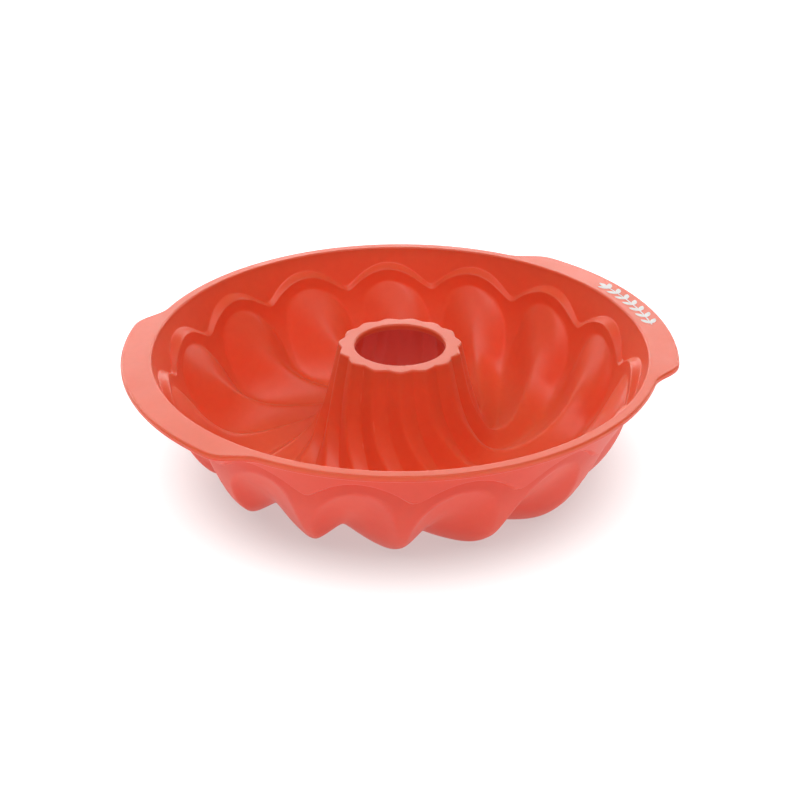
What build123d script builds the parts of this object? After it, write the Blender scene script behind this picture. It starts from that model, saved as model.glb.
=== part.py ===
from build123d import *
import os
from math import sin, cos, radians, sqrt, pi, floor

os.makedirs("parts", exist_ok=True)

# ---------------------------------------------------------------- dimensions (mm, degrees)
# Frame: +Z up, origin on the resting plane under the centre tube, +X through the printed grip tab.
FLUTES = 15                  # swirled flutes around the pan
PITCH = 360.0 / FLUTES
RIM_R = 120.0                # inner edge of the rim
RIM_Z = 62.0                 # top of the rim above the table
LIP_T = 3.0                  # thickness of the rim lip
LIP_R = 125.4                # plain outer radius of the lip
TAB_R = 134.4                # outer radius of the grip tabs
TAB_IN, TAB_OUT = 29.5, 41.0 # half angles where a tab shoulder ends and starts
LIP_FILLET = 1.1
RIM_ROUND = 1.1              # rounding from the rim top into the wall
WALL_T = 1.8                 # silicone wall
CONE = 0.34                  # inward slope of the smooth band below the rim
ARCH_Z = 54.5                # top of each scallop arch
ARCH_DROP = 10.8             # drop from arch top to the point between arches
POINT_ROUND = 0.13           # softness of the point between two arches, as a share of half a flute
LEDGE = 2.6                  # height of the scallop ledge
LID_Z = 61.3                 # top of the centre tube
LID_T = 3.0                  # thickness of the ring that closes the tube top
TUBE_ROUND = 0.8             # rounding of the tube's top edge
HOLE_R = 22.1                # open hole in the tube top
HOLE_CHAMFER = 1.0
MARK_R = 127.4               # stem line of the printed sprig
MARK_C, MARK_HALF = 0.3, 12.2   # its centre and half length, degrees from +X
MARK_T = 0.2                 # depth of the print, flush with the rim
STEM_W = 0.7
LEAF_L, LEAF_W, LEAF_LEAN = 6.4, 2.7, 36.0
LEAF_PAIRS = 7

# Matched stations along the cake side: trough r, z, ridge crest r, z, swirl of trough and crest
STATION = [
    (111.6, 45.6, 111.6, 45.6, 0.0, 0.0),
    (110.0, 36.6, 106.2, 37.2, 1.2, 2.0),
    (106.6, 26.8, 100.2, 28.8, 2.2, 3.4),
    (101.8, 17.2, 94.2, 21.5, 2.8, 5.0),
    (95.6, 9.0, 87.4, 14.2, 3.6, 7.6),
    (88.0, 3.6, 79.0, 9.0, 6.4, 11.6),
    (77.5, 1.75, 69.0, 6.6, 11.8, 18.0),
    (65.0, 1.75, 59.0, 6.6, 20.5, 27.0),
    (54.0, 3.3, 51.2, 8.4, 32.5, 35.6),
    (45.2, 8.2, 45.2, 13.6, 43.6, 44.6),
    (39.4, 17.4, 40.6, 23.0, 51.6, 53.4),
    (35.2, 30.0, 36.6, 34.0, 58.6, 59.8),
    (31.8, 45.5, 33.4, 47.0, 62.5, 62.8),
    (28.4, LID_Z, 30.2, LID_Z, 63.3, 63.3),
]
# Cross-section of a ridge at each station: half width, crest sharpness (0 domed, 1 peaked), flank power, trough rounding
SECTION = [
    (0.0, 0.0, 1.2, 0.10), (0.66, 0.05, 1.2, 0.10), (0.83, 0.35, 1.15, 0.10), (0.92, 0.75, 1.1, 0.10),
    (0.97, 1.0, 1.1, 0.12), (1.0, 1.0, 1.1, 0.14), (1.0, 1.0, 1.1, 0.14), (1.0, 1.0, 1.1, 0.14),
    (1.0, 1.0, 1.1, 0.12), (1.0, 1.0, 1.08, 0.06), (1.0, 1.0, 1.05, 0.05), (1.0, 1.0, 1.05, 0.05),
    (1.0, 1.0, 1.05, 0.05), (1.0, 1.0, 1.05, 0.05),
]
CREST_ROUND = 0.15           # rounding of the crest line, as a share of half a flute
COLUMNS = 20                 # points across one flute, closer together at the crest and the trough
CROWD = 0.4                  # how much closer they are there
LOW_ROWS = 28                # rows below the scallop line
NS = len(STATION)


# ---------------------------------------------------------------- curves through the stations
def natural_spline(y):
    """Natural cubic through equally spaced values on 0..1; returns value and slope functions."""
    n = len(y)
    h = 1.0 / (n - 1)
    a = [0.0] * n
    b = [0.0] * n
    for i in range(1, n - 1):
        rhs = 6.0 * (y[i + 1] - 2 * y[i] + y[i - 1]) / (h * h)
        w = 4.0 - a[i - 1]
        a[i] = 1.0 / w
        b[i] = (rhs - b[i - 1]) / w
    m = [0.0] * n
    for i in range(n - 2, 0, -1):
        m[i] = b[i] - a[i] * m[i + 1]

    def value(u):
        i = min(max(int(u / h), 0), n - 2)
        t = u - i * h
        s = h - t
        return (m[i] * s ** 3 + m[i + 1] * t ** 3) / (6 * h) + (y[i] / h - m[i] * h / 6) * s + (y[i + 1] / h - m[i + 1] * h / 6) * t

    def slope(u):
        e = 1e-4
        u0, u1 = max(u - e, 0.0), min(u + e, 1.0)
        return (value(u1) - value(u0)) / (u1 - u0)

    return value, slope


def monotone(y):
    n = len(y)
    h = 1.0 / (n - 1)
    d = [(y[i + 1] - y[i]) / h for i in range(n - 1)]
    m = [d[0]] + [0.0 if d[i - 1] * d[i] <= 0 else 2 * d[i - 1] * d[i] / (d[i - 1] + d[i]) for i in range(1, n - 1)] + [d[-1]]

    def value(u):
        i = min(max(int(u / h), 0), n - 2)
        s = u / h - i
        return ((2 * s ** 3 - 3 * s ** 2 + 1) * y[i] + (s ** 3 - 2 * s ** 2 + s) * h * m[i]
                + (-2 * s ** 3 + 3 * s ** 2) * y[i + 1] + (s ** 3 - s ** 2) * h * m[i + 1])

    return value


WIDTH2 = monotone([s[0] ** 2 for s in SECTION])
PEAK = monotone([s[1] for s in SECTION])
POWER = monotone([s[2] for s in SECTION])
TROUGH = monotone([s[3] for s in SECTION])


def ridge(s, u):
    """Height of the ridge, 0 in the trough and 1 on the crest, at s = 0 crest .. 1 trough."""
    if u <= 0:
        return 0.0
    w = sqrt(min(max(WIDTH2(u), 1e-9), 1.0))
    t = min(s / w, 1.0)
    c = CREST_ROUND
    tc = (sqrt(t * t + c * c) - c) / (sqrt(1 + c * c) - c)
    e = TROUGH(u)
    b = (sqrt((1 - tc) ** 2 + e * e) - e) / (sqrt(1 + e * e) - e)
    peak = min(max(PEAK(u), 0.0), 1.0)
    dome = 1 - t ** 3.2
    g = 0.07
    dome = (sqrt(dome * dome + g * g) - g) / (sqrt(1 + g * g) - g)
    return peak * b ** POWER(u) + (1 - peak) * dome


class Skin:
    """One face of the silicone wall: offset 0 is the cake side, offset WALL_T is the outside."""

    def __init__(self, offset):
        self.off = offset
        cols = [natural_spline([s[k] for s in STATION]) for k in range(6)]
        data = [list(s) for s in STATION]
        if offset:
            for i in range(NS):
                u = i / (NS - 1)
                for k in (0, 2):
                    dr, dz = cols[k][1](u), cols[k + 1][1](u)
                    length = sqrt(dr * dr + dz * dz)
                    data[i][k] += -dz / length * offset
                    data[i][k + 1] += dr / length * offset
            # the tube skin ends on the flat underside of the closing ring
            z_end = LID_Z - LID_T
            for k in (0, 2):
                data[-1][k] += (data[-2][k] - data[-1][k]) * (data[-1][k + 1] - z_end) / (data[-1][k + 1] - data[-2][k + 1])
                data[-1][k + 1] = z_end
        self.data = data
        self.f = [natural_spline([s[k] for s in data])[0] for k in range(6)]
        self.r_top, self.z_top = data[0][0], data[0][1]

    def u_at(self, z):
        """Station parameter where the trough line passes height z."""
        if z >= self.z_top:
            return 0.0
        lo, hi = 0.0, 0.36
        for _ in range(50):
            mid = (lo + hi) / 2
            if self.f[1](mid) > z:
                lo = mid
            else:
                hi = mid
        return (lo + hi) / 2

    def wall_r(self, z):
        return self.r_top + (z - self.z_top) * 0.10 if z > self.z_top else self.f[0](self.u_at(z))

    def cone_r(self, z):
        return RIM_R - CONE * (RIM_Z - z) + self.off * 1.06

    def column(self, psi):
        """Points down one column, psi degrees from the crest line of the flute."""
        s = abs(psi) / (PITCH / 2)
        v = POINT_ROUND
        s_arch = 1 - (sqrt((1 - s) ** 2 + v * v) - v) / (sqrt(1 + v * v) - v)
        z_s = ARCH_Z - ARCH_DROP * s_arch ** 2 - self.off * 0.35
        pts = []
        if self.off:
            z0 = RIM_Z - LIP_T
        else:
            # rounded edge from the flat rim top into the wall
            z0 = RIM_Z - RIM_ROUND
            r0 = self.cone_r(z0)
            for t in (0.0, 0.25, 0.5, 0.75):
                a = t * pi / 2
                pts.append((r0 + RIM_ROUND * (1 - sin(a)), z0 + RIM_ROUND * cos(a), psi))
        for i in range(7):
            z = z0 + (z_s - z0) * i / 6
            pts.append((self.cone_r(z), z, psi))
        z_l = z_s - LEDGE
        u_l = self.u_at(z_l)
        sw = self.f[4](u_l)
        for i in range(1, 6):
            t = i / 5
            k = t * t * (3 - 2 * t)
            pts.append((self.cone_r(z_s) + (self.wall_r(z_l) - self.cone_r(z_s)) * k, z_s - LEDGE * t, psi - sw * t))
        for i in (1, 2):
            z = z_l + (self.z_top - z_l) * i / 2 if z_l > self.z_top else z_l - 0.35 * i
            u = self.u_at(z)
            pts.append((self.wall_r(z), z, psi - self.f[4](u)))
        z_b = pts[-1][1]
        u_b = self.u_at(z_b) if z_b < self.z_top else 0.0
        for i in range(1, LOW_ROWS + 1):
            u = u_b + (1 - u_b) * i / LOW_ROWS
            g = ridge(s, u)
            f = self.f
            pts.append((f[0](u) + g * (f[2](u) - f[0](u)), f[1](u) + g * (f[3](u) - f[1](u)),
                        psi - (f[4](u) + g * (f[5](u) - f[4](u)))))
        if not self.off:
            # rounded edge from the tube wall into its flat top
            r_e, z_e, a_e = pts[-1]
            lean = (pts[-2][0] - r_e) / (z_e - pts[-2][1])
            pts = [p for p in pts if p[1] < z_e - TUBE_ROUND or p[0] > 60]
            for t in (0.0, 0.34, 0.67, 1.0):
                a = t * pi / 2
                pts.append((r_e + lean * TUBE_ROUND * (1 - sin(a)) - TUBE_ROUND * (1 - cos(a)), z_e - TUBE_ROUND * (1 - sin(a)), a_e))
        return pts

    def sector(self):
        """Face of one flute, seam to seam."""
        def at(psi):
            k = floor((psi + PITCH / 2) / PITCH + 1e-9)
            return [self.xyz(p, k * PITCH) for p in self.column(psi - k * PITCH)]

        # the faces of two flutes meet a little past the crest line, at the third column
        share = [(j + 2) / COLUMNS for j in range(COLUMNS + 1)]
        share = [x - CROWD * sin(4 * pi * x) / (4 * pi) for x in share]
        cols = [at(PITCH * x) for x in share]
        near = [at(PITCH * share[0] + 0.02), at(PITCH * share[-1] - 0.02)]
        rows = []
        along = [x - share[0] for x in share]
        for i in range(len(cols[0])):
            pts = [c[i] for c in cols]
            t0 = (near[0][i] - pts[0]).normalized()
            t1 = (pts[-1] - near[1][i]).normalized()
            rows.append(Wire([Edge.make_spline(pts, tangents=[t0, t1], parameters=along)]))
        return Shell.make_loft(rows).faces()[0]

    @staticmethod
    def xyz(p, add):
        a = radians(p[2] + add)
        return Vector(p[0] * cos(a), p[0] * sin(a), p[1])


def around(face):
    return [face.rotate(Axis.Z, PITCH * k) for k in range(FLUTES)]


def level_edges(faces, z):
    """The edges of the faces that lie in the plane at height z."""
    found = []
    for f in faces:
        for e in f.edges():
            b = e.bounding_box()
            if abs(b.min.Z - z) < 1e-3 and abs(b.max.Z - z) < 1e-3:
                found.append(e)
    return found


# ---------------------------------------------------------------- rim outline with the two grip tabs
def polar(r, a, z=0.0):
    return Vector(r * cos(radians(a)), r * sin(radians(a)), z)


def outline(z):
    edges = []
    for c in (0.0, 180.0):
        edges.append(Edge.make_three_point_arc(polar(TAB_R, c - TAB_IN, z), polar(TAB_R, c, z), polar(TAB_R, c + TAB_IN, z)))
        for side in (1, -1):
            a0, a1 = c + side * TAB_IN, c + side * TAB_OUT
            p = []
            for i in range(9):
                t = i / 8
                k = t * t * t * (10 - 15 * t + 6 * t * t)
                p.append(polar(TAB_R + (LIP_R - TAB_R) * k, a0 + (a1 - a0) * t, z))
            tan0 = Vector(-sin(radians(a0)), cos(radians(a0)), 0) * side
            tan1 = Vector(-sin(radians(a1)), cos(radians(a1)), 0) * side
            edges.append(Edge.make_spline(p, tangents=[tan0, tan1]))
        a0, a1 = c + TAB_OUT, c + 180 - TAB_OUT
        edges.append(Edge.make_three_point_arc(polar(LIP_R, a0, z), polar(LIP_R, (a0 + a1) / 2, z), polar(LIP_R, a1, z)))
    return Wire(edges)


# ---------------------------------------------------------------- the silicone moulding
inner = around(Skin(0.0).sector())
outer = around(Skin(WALL_T).sector())

low = outline(RIM_Z - LIP_T)
side = Solid.extrude(Face(low), Vector(0, 0, LIP_T))
side_faces = [f for f in side.faces() if abs(f.normal_at(f.center()).Z) < 0.5]
top_wire = Wire(level_edges(side_faces, RIM_Z))
low_wire = Wire(level_edges(side_faces, RIM_Z - LIP_T))

rim_top = Face(top_wire, [Wire(level_edges(inner, RIM_Z))])
rim_low = Face(low_wire, [Wire(level_edges(outer, RIM_Z - LIP_T))])

# ring that closes the tube top around its open hole
bore_z0, bore_z1 = LID_Z - LID_T, LID_Z - HOLE_CHAMFER
bore = Face.revolve(Edge.make_line((HOLE_R, 0, bore_z0), (HOLE_R, 0, bore_z1)), 360, Axis.Z)
bevel = Face.revolve(Edge.make_line((HOLE_R, 0, bore_z1), (HOLE_R + HOLE_CHAMFER, 0, LID_Z)), 360, Axis.Z)
lid_top = Face(Wire(level_edges(inner, LID_Z)), [Wire(level_edges([bevel], LID_Z))])
lid_low = Face(Wire(level_edges(outer, bore_z0)), [Wire(level_edges([bore], bore_z0))])

skin = Shell(inner + outer + side_faces + [rim_top, rim_low, bore, bevel, lid_top, lid_low])
body = Solid(skin)
print("closed moulding", body.is_valid, round(body.volume))

# soft edges round the lip and the tabs
lip_edges = [e for z in (RIM_Z, RIM_Z - LIP_T) for e in level_edges([body], z)
             if (e.center() - Vector(0, 0, z)).length > LIP_R - 4]
body = body.fillet(LIP_FILLET, lip_edges)
print("rounded lip", body.is_valid, round(body.volume))

# the flute bottoms are flattened into small lands where the pan stands
body = (body - Pos(0, 0, -5) * Box(320, 320, 10)).solids()[0]
print("standing lands", body.is_valid, round(body.volume))

# ---------------------------------------------------------------- plain leafy sprig printed on one tab
z_m = RIM_Z - MARK_T
r_a, r_b = MARK_R - STEM_W / 2, MARK_R + STEM_W / 2
a_a, a_b = MARK_C - MARK_HALF, MARK_C + MARK_HALF - 2.2
stem = Face(Wire([
    Edge.make_three_point_arc(polar(r_a, a_a, z_m), polar(r_a, MARK_C, z_m), polar(r_a, a_b, z_m)),
    Edge.make_line(polar(r_a, a_b, z_m), polar(r_b, a_b, z_m)),
    Edge.make_three_point_arc(polar(r_b, a_b, z_m), polar(r_b, MARK_C, z_m), polar(r_b, a_a, z_m)),
    Edge.make_line(polar(r_b, a_a, z_m), polar(r_a, a_a, z_m)),
]))
mark = Solid.extrude(stem, Vector(0, 0, MARK_T))


def leaf_at(a, heading):
    """A pointed leaf that starts on the stem at angle a and points along heading, in degrees."""
    blade = Face(Wire([
        Edge.make_three_point_arc((0, 0, 0), (LEAF_L / 2, LEAF_W / 2, 0), (LEAF_L, 0, 0)),
        Edge.make_three_point_arc((LEAF_L, 0, 0), (LEAF_L / 2, -LEAF_W / 2, 0), (0, 0, 0)),
    ]))
    if blade.normal_at().Z < 0:
        blade = -blade
    p = polar(MARK_R, a, z_m)
    return Pos(p.X, p.Y, p.Z) * Rot(0, 0, heading) * Solid.extrude(blade, Vector(0, 0, MARK_T))


for i in range(LEAF_PAIRS):
    a = a_a + 0.5 + (a_b - a_a - 1.8) * i / (LEAF_PAIRS - 1)
    for side in (1, -1):
        mark = mark + leaf_at(a, a + 90 - side * LEAF_LEAN)
mark = mark + leaf_at(a_b - 0.4, a_b + 90)
mark = mark.solids()[0]
print("mark", mark.is_valid, round(mark.volume, 2))
body = (body - mark).solids()[0]
print("body with its print recess", body.is_valid, round(body.volume))

for name, solid in (("pan_body", body), ("grip_mark", mark)):
    solid.label = name
    export_step(solid, f"parts/{name}.step")
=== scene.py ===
import math
import bpy
import numpy as np
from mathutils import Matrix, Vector


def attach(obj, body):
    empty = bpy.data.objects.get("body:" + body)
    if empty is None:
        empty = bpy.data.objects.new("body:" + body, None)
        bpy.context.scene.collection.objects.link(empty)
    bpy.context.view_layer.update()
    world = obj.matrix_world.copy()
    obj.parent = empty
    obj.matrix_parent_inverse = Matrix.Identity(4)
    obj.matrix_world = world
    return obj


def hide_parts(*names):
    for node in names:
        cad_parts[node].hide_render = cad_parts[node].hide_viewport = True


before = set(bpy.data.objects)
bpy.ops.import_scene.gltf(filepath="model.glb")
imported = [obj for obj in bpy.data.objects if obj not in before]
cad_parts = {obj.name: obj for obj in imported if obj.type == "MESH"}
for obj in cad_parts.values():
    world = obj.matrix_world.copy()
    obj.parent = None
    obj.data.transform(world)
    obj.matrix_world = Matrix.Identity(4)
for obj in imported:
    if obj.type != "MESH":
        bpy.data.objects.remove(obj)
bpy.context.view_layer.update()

MM = 0.001

# ---------------------------------------------------------------- dimensions of the moulding (mm, degrees)
FLUTES = 15
PITCH = 360.0 / FLUTES
RIM_R, RIM_Z = 120.0, 62.0
LIP_T, LIP_R, LIP_FILLET = 3.0, 125.4, 1.1
TAB_R, TAB_IN, TAB_OUT = 134.4, 29.5, 41.0
RIM_ROUND, WALL_T, CONE = 1.1, 1.8, 0.34
ARCH_Z, ARCH_DROP, LEDGE = 54.5, 10.8, 2.6
POINT_ROUND = 0.13
LID_Z, LID_T = 61.3, 3.0
HOLE_R, HOLE_CHAMFER = 22.1, 1.0
TUBE_ROUND = 0.8
FILM_SINK, FILM_IN, FILM_OUT = 0.06, 14.5, 19.0

STATION = np.array([
    (111.6, 45.6, 111.6, 45.6, 0.0, 0.0),
    (110.0, 36.6, 106.2, 37.2, 1.2, 2.0),
    (106.6, 26.8, 100.2, 28.8, 2.2, 3.4),
    (101.8, 17.2, 94.2, 21.5, 2.8, 5.0),
    (95.6, 9.0, 87.4, 14.2, 3.6, 7.6),
    (88.0, 3.6, 79.0, 9.0, 6.4, 11.6),
    (77.5, 1.75, 69.0, 6.6, 11.8, 18.0),
    (65.0, 1.75, 59.0, 6.6, 20.5, 27.0),
    (54.0, 3.3, 51.2, 8.4, 32.5, 35.6),
    (45.2, 8.2, 45.2, 13.6, 43.6, 44.6),
    (39.4, 17.4, 40.6, 23.0, 51.6, 53.4),
    (35.2, 30.0, 36.6, 34.0, 58.6, 59.8),
    (31.8, 45.5, 33.4, 47.0, 62.5, 62.8),
    (28.4, LID_Z, 30.2, LID_Z, 63.3, 63.3),
])
SECTION = np.array([
    (0.0, 0.0, 1.2, 0.10), (0.66, 0.05, 1.2, 0.10), (0.83, 0.35, 1.15, 0.10), (0.92, 0.75, 1.1, 0.10),
    (0.97, 1.0, 1.1, 0.12), (1.0, 1.0, 1.1, 0.14), (1.0, 1.0, 1.1, 0.14), (1.0, 1.0, 1.1, 0.14),
    (1.0, 1.0, 1.1, 0.12), (1.0, 1.0, 1.08, 0.06), (1.0, 1.0, 1.05, 0.05), (1.0, 1.0, 1.05, 0.05),
    (1.0, 1.0, 1.05, 0.05), (1.0, 1.0, 1.05, 0.05),
])
CREST_ROUND = 0.15
NS = len(STATION)
COLUMNS = 40          # columns across one flute
IN_ROWS, OUT_ROWS = 132, 96


def natural_spline(y):
    """Natural cubic through equally spaced values on 0..1, for arrays of u."""
    y = np.asarray(y, float)
    n = len(y)
    h = 1.0 / (n - 1)
    m = np.zeros(n)
    a = np.zeros(n)
    b = np.zeros(n)
    for i in range(1, n - 1):
        w = 4.0 - a[i - 1]
        a[i] = 1.0 / w
        b[i] = (6.0 * (y[i + 1] - 2 * y[i] + y[i - 1]) / (h * h) - b[i - 1]) / w
    for i in range(n - 2, 0, -1):
        m[i] = b[i] - a[i] * m[i + 1]

    def value(u):
        u = np.clip(np.asarray(u, float), 0.0, 1.0)
        i = np.clip((u / h).astype(int), 0, n - 2)
        t = u - i * h
        s = h - t
        return ((m[i] * s ** 3 + m[i + 1] * t ** 3) / (6 * h) + (y[i] / h - m[i] * h / 6) * s
                + (y[i + 1] / h - m[i + 1] * h / 6) * t)

    def slope(u):
        u0, u1 = max(u - 1e-4, 0.0), min(u + 1e-4, 1.0)
        return float((value(u1) - value(u0)) / (u1 - u0))

    return value, slope


def monotone(y):
    y = np.asarray(y, float)
    n = len(y)
    h = 1.0 / (n - 1)
    d = np.diff(y) / h
    m = np.zeros(n)
    m[0], m[-1] = d[0], d[-1]
    for i in range(1, n - 1):
        m[i] = 0.0 if d[i - 1] * d[i] <= 0 else 2 * d[i - 1] * d[i] / (d[i - 1] + d[i])

    def value(u):
        u = np.clip(np.asarray(u, float), 0.0, 1.0)
        i = np.clip((u / h).astype(int), 0, n - 2)
        s = u / h - i
        return ((2 * s ** 3 - 3 * s ** 2 + 1) * y[i] + (s ** 3 - 2 * s ** 2 + s) * h * m[i]
                + (-2 * s ** 3 + 3 * s ** 2) * y[i + 1] + (s ** 3 - s ** 2) * h * m[i + 1])

    return value


WIDTH2 = monotone(SECTION[:, 0] ** 2)
PEAK = monotone(SECTION[:, 1])
POWER = monotone(SECTION[:, 2])
TROUGH = monotone(SECTION[:, 3])


def ridge(s, u):
    """Height of the ridge, 0 in the trough and 1 on the crest, at s = 0 crest .. 1 trough."""
    w = np.sqrt(np.clip(WIDTH2(u), 1e-9, 1.0))
    t = np.minimum(s / w, 1.0)
    c = CREST_ROUND
    tc = (np.sqrt(t * t + c * c) - c) / (math.sqrt(1 + c * c) - c)
    e = TROUGH(u)
    b = (np.sqrt((1 - tc) ** 2 + e * e) - e) / (np.sqrt(1 + e * e) - e)
    peak = np.clip(PEAK(u), 0.0, 1.0)
    dome = 1 - t ** 3.2
    g = 0.07
    dome = (np.sqrt(dome * dome + g * g) - g) / (math.sqrt(1 + g * g) - g)
    return np.where(u <= 0, 0.0, peak * b ** POWER(u) + (1 - peak) * dome)


class Skin:
    """One face of the silicone wall: offset 0 is the cake side, offset WALL_T is the outside."""

    def __init__(self, offset):
        self.off = offset
        cols = [natural_spline(STATION[:, k]) for k in range(6)]
        data = STATION.copy()
        if offset:
            for i in range(NS):
                u = i / (NS - 1)
                for k in (0, 2):
                    dr, dz = cols[k][1](u), cols[k + 1][1](u)
                    length = math.hypot(dr, dz)
                    data[i, k] += -dz / length * offset
                    data[i, k + 1] += dr / length * offset
            z_end = LID_Z - LID_T
            for k in (0, 2):
                data[-1, k] += (data[-2, k] - data[-1, k]) * (data[-1, k + 1] - z_end) / (data[-1, k + 1] - data[-2, k + 1])
                data[-1, k + 1] = z_end
        self.f = [natural_spline(data[:, k])[0] for k in range(6)]
        self.r_top, self.z_top = data[0, 0], data[0, 1]
        self.u_tab = np.linspace(0.0, 0.36, 3000)
        self.z_tab = self.f[1](self.u_tab)

    def u_at(self, z):
        return np.where(z >= self.z_top, 0.0, np.interp(-z, -self.z_tab, self.u_tab))

    def wall_r(self, z):
        return np.where(z > self.z_top, self.r_top + (z - self.z_top) * 0.10, self.f[0](self.u_at(z)))

    def cone_r(self, z):
        return RIM_R - CONE * (RIM_Z - z) + self.off * 1.06

    def rows(self, psi, low_rows):
        """(r, z, angle) rows from the rim to the tube top; psi is measured from the crest line of each flute."""
        local = (psi + PITCH / 2) % PITCH - PITCH / 2
        s = np.abs(local) / (PITCH / 2)
        one = np.ones_like(psi)
        v = POINT_ROUND
        s_arch = 1 - (np.sqrt((1 - s) ** 2 + v * v) - v) / (math.sqrt(1 + v * v) - v)
        z_s = ARCH_Z - ARCH_DROP * s_arch ** 2 - self.off * 0.35
        out = []
        if self.off:
            z0 = RIM_Z - LIP_T
        else:
            z0 = RIM_Z - RIM_ROUND
            r0 = self.cone_r(z0)
            for t in np.linspace(0, 1, 8)[:-1]:
                a = t * math.pi / 2
                out.append(((r0 + RIM_ROUND * (1 - math.sin(a))) * one, (z0 + RIM_ROUND * math.cos(a)) * one, psi))
        # the smooth band, with extra rows close to the scallop edge so that the edge shades crisply
        for t in (0, 0.03, 0.1, 0.2, 0.32, 0.45, 0.58, 0.7, 0.8, 0.88, 0.94, 0.98, 1.0):
            z = z0 + (z_s - z0) * t
            out.append((self.cone_r(z), z, psi))
        z_l = z_s - LEDGE
        sw = self.f[4](self.u_at(z_l))
        for t in np.linspace(0, 1, 13)[1:]:
            k = t * t * (3 - 2 * t)
            out.append((self.cone_r(z_s) + (self.wall_r(z_l) - self.cone_r(z_s)) * k, z_s - LEDGE * t, psi - sw * t))
        for t in (0.08, 0.25, 0.5, 0.75, 1.0):
            z = np.where(z_l > self.z_top, z_l + (self.z_top - z_l) * t, z_l - 0.7 * t)
            out.append((self.wall_r(z), z, psi - self.f[4](self.u_at(z))))
        z_b = out[-1][1]
        u_b = np.where(z_b < self.z_top, self.u_at(z_b), 0.0)
        f = self.f
        for i in range(1, low_rows + 1):
            t = i / low_rows
            t = t ** 1.12
            u = u_b + (1 - u_b) * t
            g = ridge(s, u)
            out.append((f[0](u) + g * (f[2](u) - f[0](u)), f[1](u) + g * (f[3](u) - f[1](u)),
                        psi - (f[4](u) + g * (f[5](u) - f[4](u)))))
        return out


def lip_outline(a):
    """Outer radius of the lip with its two grip tabs, at angle a in degrees."""
    d = np.abs((a + 90) % 180 - 90)
    t = np.clip((d - TAB_IN) / (TAB_OUT - TAB_IN), 0, 1)
    k = t ** 3 * (10 - 15 * t + 6 * t * t)
    return TAB_R + (LIP_R - TAB_R) * k


def moulding():
    t = np.arange(COLUMNS) / COLUMNS * 2 - 1                      # -1 trough, 0 crest, 1 trough
    t = t - 0.42 * np.sin(2 * np.pi * t) / (2 * np.pi)            # closer columns at crest and trough
    psi = (np.arange(FLUTES)[:, None] * PITCH + t[None, :] * PITCH / 2).ravel()
    one = np.ones_like(psi)

    inner = Skin(0.0).rows(psi, IN_ROWS)
    outer = Skin(WALL_T).rows(psi, OUT_ROWS)
    rows = []

    # cake side, stopping where the rounding of the tube top starts
    tube_r, tube_z, tube_a = inner[-1]
    for r, z, a in inner[:-1]:
        if np.min(z) > LID_Z - TUBE_ROUND and np.max(r) < 40:
            continue
        rows.append((r, z, a))
    slope = (inner[-2][0] - tube_r) / (tube_z - inner[-2][1])      # outward lean of the tube wall per mm of drop
    for q in np.linspace(0, 1, 7):
        b = q * math.pi / 2
        rows.append((tube_r + slope * TUBE_ROUND * (1 - math.sin(b)) - TUBE_ROUND * (1 - math.cos(b)),
                     LID_Z - TUBE_ROUND * (1 - math.sin(b)), tube_a))
    # ring that closes the tube top, then the hole
    r_a, r_b = tube_r - TUBE_ROUND, HOLE_R + HOLE_CHAMFER
    for q in (0.06, 0.3, 0.6, 0.94):
        rows.append((r_a + (r_b - r_a) * q, LID_Z * one, tube_a))
    for q in np.linspace(0, 1, 7):
        b = q * math.pi / 2
        rows.append((HOLE_R + HOLE_CHAMFER * (1 - math.sin(b)), LID_Z - HOLE_CHAMFER * (1 - math.cos(b)) * one, tube_a))
    for z in (LID_Z - HOLE_CHAMFER - 0.1, LID_Z - 1.6, LID_Z - 2.3, LID_Z - LID_T + 0.25):
        rows.append((HOLE_R * one, z * one, tube_a))
    rows.append(((HOLE_R + 0.08) * one, (LID_Z - LID_T + 0.08) * one, tube_a))
    # underside of that ring
    in_r = outer[-1][0]
    rows.append(((HOLE_R + 0.25) * one, (LID_Z - LID_T) * one, tube_a))
    for q in (0.25, 0.55, 0.85):
        rows.append((HOLE_R + 0.25 + (in_r - HOLE_R - 0.25) * q, (LID_Z - LID_T) * one, tube_a))
    # outside of the wall, from the tube back up to the lip
    for r, z, a in outer[::-1]:
        rows.append((r, np.maximum(z, 0.0), a))
    # underside, edge and top of the lip
    low_r = outer[0][0]
    edge = lip_outline(psi)
    z_low = RIM_Z - LIP_T
    for q in (0.04, 0.25, 0.5, 0.75, 0.96, 1.0):
        rows.append((low_r + (edge - LIP_FILLET - low_r) * q, z_low * one, psi))
    for q in np.linspace(0, 1, 7)[1:]:
        b = q * math.pi / 2
        rows.append((edge - LIP_FILLET * (1 - math.sin(b)), z_low + LIP_FILLET * (1 - math.cos(b)) * one, psi))
    for q in np.linspace(0, 1, 7):
        b = q * math.pi / 2
        rows.append((edge - LIP_FILLET * (1 - math.cos(b)), RIM_Z - LIP_FILLET * (1 - math.sin(b)) * one, psi))
    top_r = inner[0][0]
    # the tab that carries the printed film sinks by a hair under it, so that the film's own face shows
    off = np.abs((psi + 180) % 360 - 180)
    k = np.clip((FILM_OUT - off) / (FILM_OUT - FILM_IN), 0, 1)
    sink = FILM_SINK * k * k * (3 - 2 * k)
    for q in (0.04, 0.2, 0.4, 0.6, 0.8, 0.96):
        rows.append((edge - LIP_FILLET + (top_r - edge + LIP_FILLET) * q, RIM_Z - sink, psi))

    r = np.array([x[0] * one for x in rows])
    z = np.array([x[1] * one for x in rows])
    a = np.radians(np.array([x[2] * one for x in rows]))
    return np.stack([r * np.cos(a), r * np.sin(a), z], -1) * MM


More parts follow.
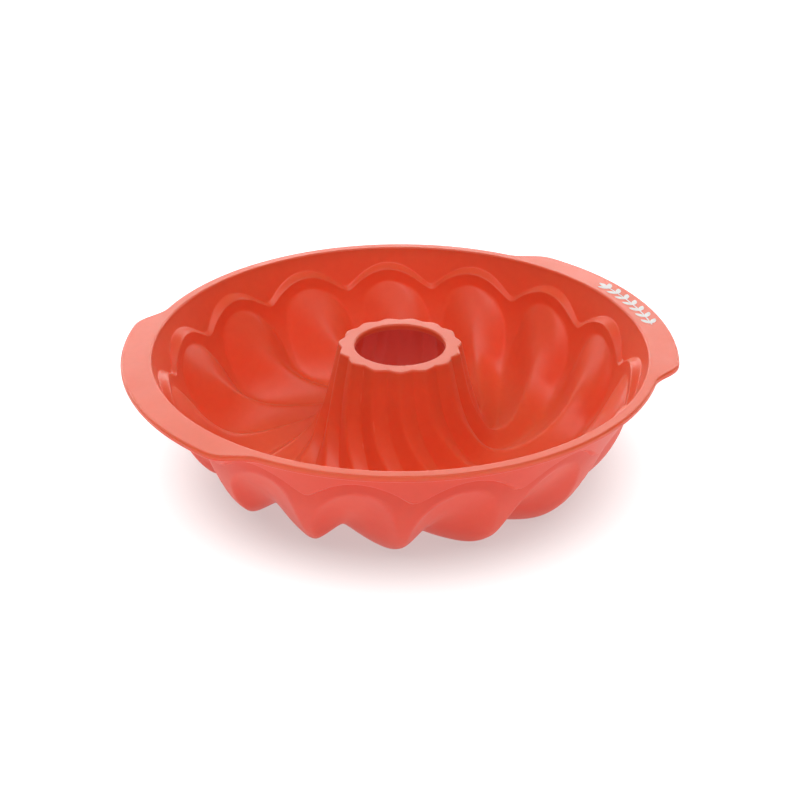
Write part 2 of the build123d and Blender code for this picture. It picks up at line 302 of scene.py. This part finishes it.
def grid_mesh(name, grid):
    """A closed mesh from points that wrap round in both directions."""
    nr, nc = grid.shape[:2]
    i, j = np.meshgrid(np.arange(nr), np.arange(nc), indexing="ij")
    i1, j1 = (i + 1) % nr, (j + 1) % nc
    quads = np.stack([i * nc + j, i * nc + j1, i1 * nc + j1, i1 * nc + j], -1).reshape(-1, 4)
    mesh = bpy.data.meshes.new(name)
    mesh.vertices.add(nr * nc)
    mesh.vertices.foreach_set("co", grid.reshape(-1).astype(np.float32))
    mesh.loops.add(quads.size)
    mesh.loops.foreach_set("vertex_index", quads.reshape(-1).astype(np.int32))
    mesh.polygons.add(len(quads))
    mesh.polygons.foreach_set("loop_start", np.arange(0, quads.size, 4, dtype=np.int32))
    mesh.polygons.foreach_set("use_smooth", np.ones(len(quads), bool))
    mesh.update(calc_edges=True)
    mesh.validate()
    obj = bpy.data.objects.new(name, mesh)
    bpy.context.scene.collection.objects.link(obj)
    return obj


# ---------------------------------------------------------------- materials
def new_material(name):
    mat = bpy.data.materials.new(name)
    mat.use_nodes = True
    nt = mat.node_tree
    nt.nodes.clear()
    out = nt.nodes.new("ShaderNodeOutputMaterial")
    bsdf = nt.nodes.new("ShaderNodeBsdfPrincipled")
    nt.links.new(bsdf.outputs[0], out.inputs[0])
    return mat, nt, bsdf


def node(nt, kind, **values):
    n = nt.nodes.new(kind)
    for k, v in values.items():
        if k.startswith("in_"):
            n.inputs[k[3:].replace("_", " ")].default_value = v
        else:
            setattr(n, k, v)
    return n


def ramp(nt, source, stops):
    n = nt.nodes.new("ShaderNodeValToRGB")
    while len(n.color_ramp.elements) > 1:
        n.color_ramp.elements.remove(n.color_ramp.elements[-1])
    n.color_ramp.elements[0].position = stops[0][0]
    n.color_ramp.elements[0].color = (*stops[0][1], 1)
    for p, c in stops[1:]:
        e = n.color_ramp.elements.new(p)
        e.color = (*c, 1)
    nt.links.new(source, n.inputs[0])
    return n


def mix(nt, blend, factor, a, b):
    n = nt.nodes.new("ShaderNodeMix")
    n.data_type = "RGBA"
    n.blend_type = blend
    if isinstance(factor, float):
        n.inputs[0].default_value = factor
    else:
        nt.links.new(factor, n.inputs[0])
    for k, v in ((6, a), (7, b)):
        if isinstance(v, tuple):
            n.inputs[k].default_value = (*v, 1)
        else:
            nt.links.new(v, n.inputs[k])
    return n.outputs[2]


def silicone():
    mat, nt, bsdf = new_material("silicone_red")
    coord = node(nt, "ShaderNodeTexCoord").outputs["Object"]

    def noise(scale, detail, rough=0.55, distort=0.0):
        n = node(nt, "ShaderNodeTexNoise", in_Scale=scale, in_Detail=detail, in_Roughness=rough, in_Distortion=distort)
        nt.links.new(coord, n.inputs["Vector"])
        return n.outputs[0]

    # pigment: slow cloudy drift, then a fine mottle
    cloud = ramp(nt, noise(16.0, 3.0, 0.5, 0.4), [(0.32, (0.82, 0.12, 0.043)), (0.68, (0.85, 0.132, 0.049))])
    mottle = ramp(nt, noise(260.0, 4.0), [(0.35, (0.95, 0.92, 0.92)), (0.65, (1.0, 1.0, 1.0))])
    base = mix(nt, "MULTIPLY", 0.45, cloud.outputs[0], mottle.outputs[0])
    # pointy edges are mixed toward a paler colour, dappled by noise: partly handling wear, partly a painted highlight
    # along the crests
    geo = node(nt, "ShaderNodeNewGeometry")
    edge = ramp(nt, geo.outputs["Pointiness"], [(0.54, (0, 0, 0)), (0.66, (1, 1, 1))])
    edge_wear_and_highlight = node(nt, "ShaderNodeMath", operation="MULTIPLY")
    nt.links.new(edge.outputs[0], edge_wear_and_highlight.inputs[0])
    wear = ramp(nt, noise(70.0, 3.0, 0.6), [(0.30, (0.15, 0.15, 0.15)), (0.70, (0.40, 0.40, 0.40))])
    nt.links.new(wear.outputs[0], edge_wear_and_highlight.inputs[1])
    base = mix(nt, "MIX", edge_wear_and_highlight.outputs[0], base, (0.92, 0.26, 0.16))
    # a little flour-fine dust that silicone always holds
    dust = ramp(nt, noise(1400.0, 2.0, 0.7), [(0.72, (0, 0, 0)), (0.82, (0.08, 0.08, 0.08))])
    base = mix(nt, "MIX", dust.outputs[0], base, (0.84, 0.4, 0.32))
    # surfaces whose normal faces down and outwards, the outer skin, are multiplied darker: painted shade standing in
    # for the shade the lamps here don't give
    way = node(nt, "ShaderNodeSeparateXYZ")
    nt.links.new(geo.outputs["True Normal"], way.inputs[0])
    outer = node(nt, "ShaderNodeMapRange")
    nt.links.new(way.outputs[2], outer.inputs[0])
    outer.inputs[1].default_value, outer.inputs[2].default_value = -0.10, 0.06
    outer.inputs[3].default_value, outer.inputs[4].default_value = 1.0, 0.0
    base = mix(nt, "MULTIPLY", outer.outputs[0], base, (0.93, 0.54, 0.55))
    nt.links.new(base, bsdf.inputs["Base Color"])

    rough = ramp(nt, noise(38.0, 4.0, 0.6, 0.2), [(0.30, (0.35, 0.35, 0.35)), (0.70, (0.45, 0.45, 0.45))])
    nt.links.new(rough.outputs[0], bsdf.inputs["Roughness"])

    # satin skin of a blasted mould, and a slow waviness of the soft wall
    fine = node(nt, "ShaderNodeBump", in_Strength=0.10, in_Distance=0.0002)
    nt.links.new(noise(1900.0, 3.0), fine.inputs["Height"])
    slow = node(nt, "ShaderNodeBump", in_Strength=0.06, in_Distance=0.002)
    nt.links.new(noise(24.0, 2.0), slow.inputs["Height"])
    nt.links.new(fine.outputs[0], slow.inputs["Normal"])
    nt.links.new(slow.outputs[0], bsdf.inputs["Normal"])

    bsdf.inputs["IOR"].default_value = 1.45
    bsdf.inputs["Subsurface Weight"].default_value = 0.62
    bsdf.inputs["Subsurface Radius"].default_value = (1.0, 0.11, 0.05)
    bsdf.inputs["Subsurface Scale"].default_value = 0.0038
    bsdf.inputs["Sheen Weight"].default_value = 0.08
    bsdf.inputs["Sheen Roughness"].default_value = 0.35
    bsdf.inputs["Sheen Tint"].default_value = (1.0, 0.88, 0.86, 1.0)
    return mat


def print_film():
    mat, nt, bsdf = new_material("printed_film")
    coord = node(nt, "ShaderNodeTexCoord").outputs["Object"]
    n = node(nt, "ShaderNodeTexNoise", in_Scale=420.0, in_Detail=4.0)
    nt.links.new(coord, n.inputs["Vector"])
    c = ramp(nt, n.outputs[0], [(0.30, (0.80, 0.74, 0.72)), (0.62, (0.93, 0.91, 0.89))])
    # pin-holes where the red shows through the ink
    h = node(nt, "ShaderNodeTexNoise", in_Scale=1500.0, in_Detail=2.0)
    nt.links.new(coord, h.inputs["Vector"])
    holes = ramp(nt, h.outputs[0], [(0.68, (0, 0, 0)), (0.76, (0.5, 0.5, 0.5))])
    nt.links.new(mix(nt, "MIX", holes.outputs[0], c.outputs[0], (0.85, 0.40, 0.33)), bsdf.inputs["Base Color"])
    r = ramp(nt, n.outputs[0], [(0.3, (0.52, 0.52, 0.52)), (0.7, (0.64, 0.64, 0.64))])
    nt.links.new(r.outputs[0], bsdf.inputs["Roughness"])
    b = node(nt, "ShaderNodeBump", in_Strength=0.2, in_Distance=0.0001)
    nt.links.new(h.outputs[0], b.inputs["Height"])
    nt.links.new(b.outputs[0], bsdf.inputs["Normal"])
    return mat


def floor_material():
    mat, nt, bsdf = new_material("pale_floor")
    coord = node(nt, "ShaderNodeTexCoord").outputs["Object"]
    n = node(nt, "ShaderNodeTexNoise", in_Scale=3.0, in_Detail=2.0)
    nt.links.new(coord, n.inputs["Vector"])
    c = ramp(nt, n.outputs[0], [(0.3, (0.4, 0.4, 0.4)), (0.7, (0.43, 0.43, 0.43))])
    nt.links.new(c.outputs[0], bsdf.inputs["Base Color"])
    bsdf.inputs["Roughness"].default_value = 0.7
    bsdf.inputs["Specular IOR Level"].default_value = 0.2
    # the floor emits light itself, a painted glow, and glows less close to the object: a painted shadow round its foot
    far = node(nt, "ShaderNodeVectorMath", operation="LENGTH")
    nt.links.new(coord, far.inputs[0])
    painted_glow_and_shadow = node(nt, "ShaderNodeMapRange", interpolation_type="SMOOTHSTEP")
    nt.links.new(far.outputs["Value"], painted_glow_and_shadow.inputs[0])
    for k, v in zip((1, 2, 3, 4), (0.085, 0.14, 0.46, 0.89)):
        painted_glow_and_shadow.inputs[k].default_value = v
    bsdf.inputs["Emission Color"].default_value = (1.0, 1.0, 1.0, 1.0)
    nt.links.new(painted_glow_and_shadow.outputs[0], bsdf.inputs["Emission Strength"])
    return mat


# ---------------------------------------------------------------- the pan and its printed border
pan = grid_mesh("pan_moulding", moulding())
pan.data.materials.append(silicone())
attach(pan, "root")
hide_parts("pan_body")

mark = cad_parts["grip_mark"]
film = print_film()
for slot in mark.material_slots:
    slot.material = film
if not mark.material_slots:
    mark.data.materials.append(film)

# ---------------------------------------------------------------- floor, light and camera
side = 6.0
cells = 24
g = np.linspace(-side, side, cells + 1)
gx, gy = np.meshgrid(g, g, indexing="ij")
verts = np.stack([gx, gy, np.full_like(gx, -0.0002)], -1).reshape(-1, 3)
faces = [(i * (cells + 1) + j, (i + 1) * (cells + 1) + j, (i + 1) * (cells + 1) + j + 1, i * (cells + 1) + j + 1)
         for i in range(cells) for j in range(cells)]
floor_mesh = bpy.data.meshes.new("floor")
floor_mesh.from_pydata([tuple(v) for v in verts], [], faces)
floor_mesh.update()
floor = bpy.data.objects.new("floor", floor_mesh)
bpy.context.scene.collection.objects.link(floor)
floor.data.materials.append(floor_material())

scene = bpy.context.scene
world = bpy.data.worlds.new("studio") if scene.world is None else scene.world
scene.world = world
world.use_nodes = True
world.node_tree.nodes["Background"].inputs[0].default_value = (1.0, 1.0, 1.0, 1.0)
world.node_tree.nodes["Background"].inputs[1].default_value = 0.13

# directions in the viewer's terms: right, away (level) and up
FORWARD = Vector((0.32065, 0.81821, -0.47722)).normalized()
AWAY = Vector((FORWARD.x, FORWARD.y, 0)).normalized()
RIGHT = Vector((AWAY.y, -AWAY.x, 0))
CENTRE = Vector((0, 0, 0.03))


def softbox(name, right, away, up, size, watts, colour=(1, 1, 1)):
    lamp = bpy.data.lights.new(name, "AREA")
    lamp.shape = "RECTANGLE"
    lamp.size, lamp.size_y = size
    lamp.energy = watts
    lamp.color = colour
    obj = bpy.data.objects.new(name, lamp)
    obj.location = CENTRE + RIGHT * right + AWAY * away + Vector((0, 0, up))
    obj.rotation_euler = (CENTRE - obj.location).to_track_quat("-Z", "Y").to_euler()
    scene.collection.objects.link(obj)
    return obj


softbox("back_softbox", 0.05, 1.7, 0.7, (4.4, 0.9), 40.0)
softbox("left_softbox", -1.3, 1.2, 0.75, (1.4, 0.9), 5.0)
softbox("front_softbox", 0.0, -0.6, 1.5, (2.6, 1.0), 18.5)

cam_data = bpy.data.cameras.new("camera")
cam_data.sensor_width = 36.0
cam_data.lens = 67.97
cam = bpy.data.objects.new("camera", cam_data)
cam.location = (-0.24059, -0.61391, 0.38846)
cam.rotation_euler = FORWARD.to_track_quat("-Z", "Y").to_euler()
scene.collection.objects.link(cam)
scene.camera = cam

scene.view_settings.view_transform = "Standard"
scene.view_settings.look = "None"
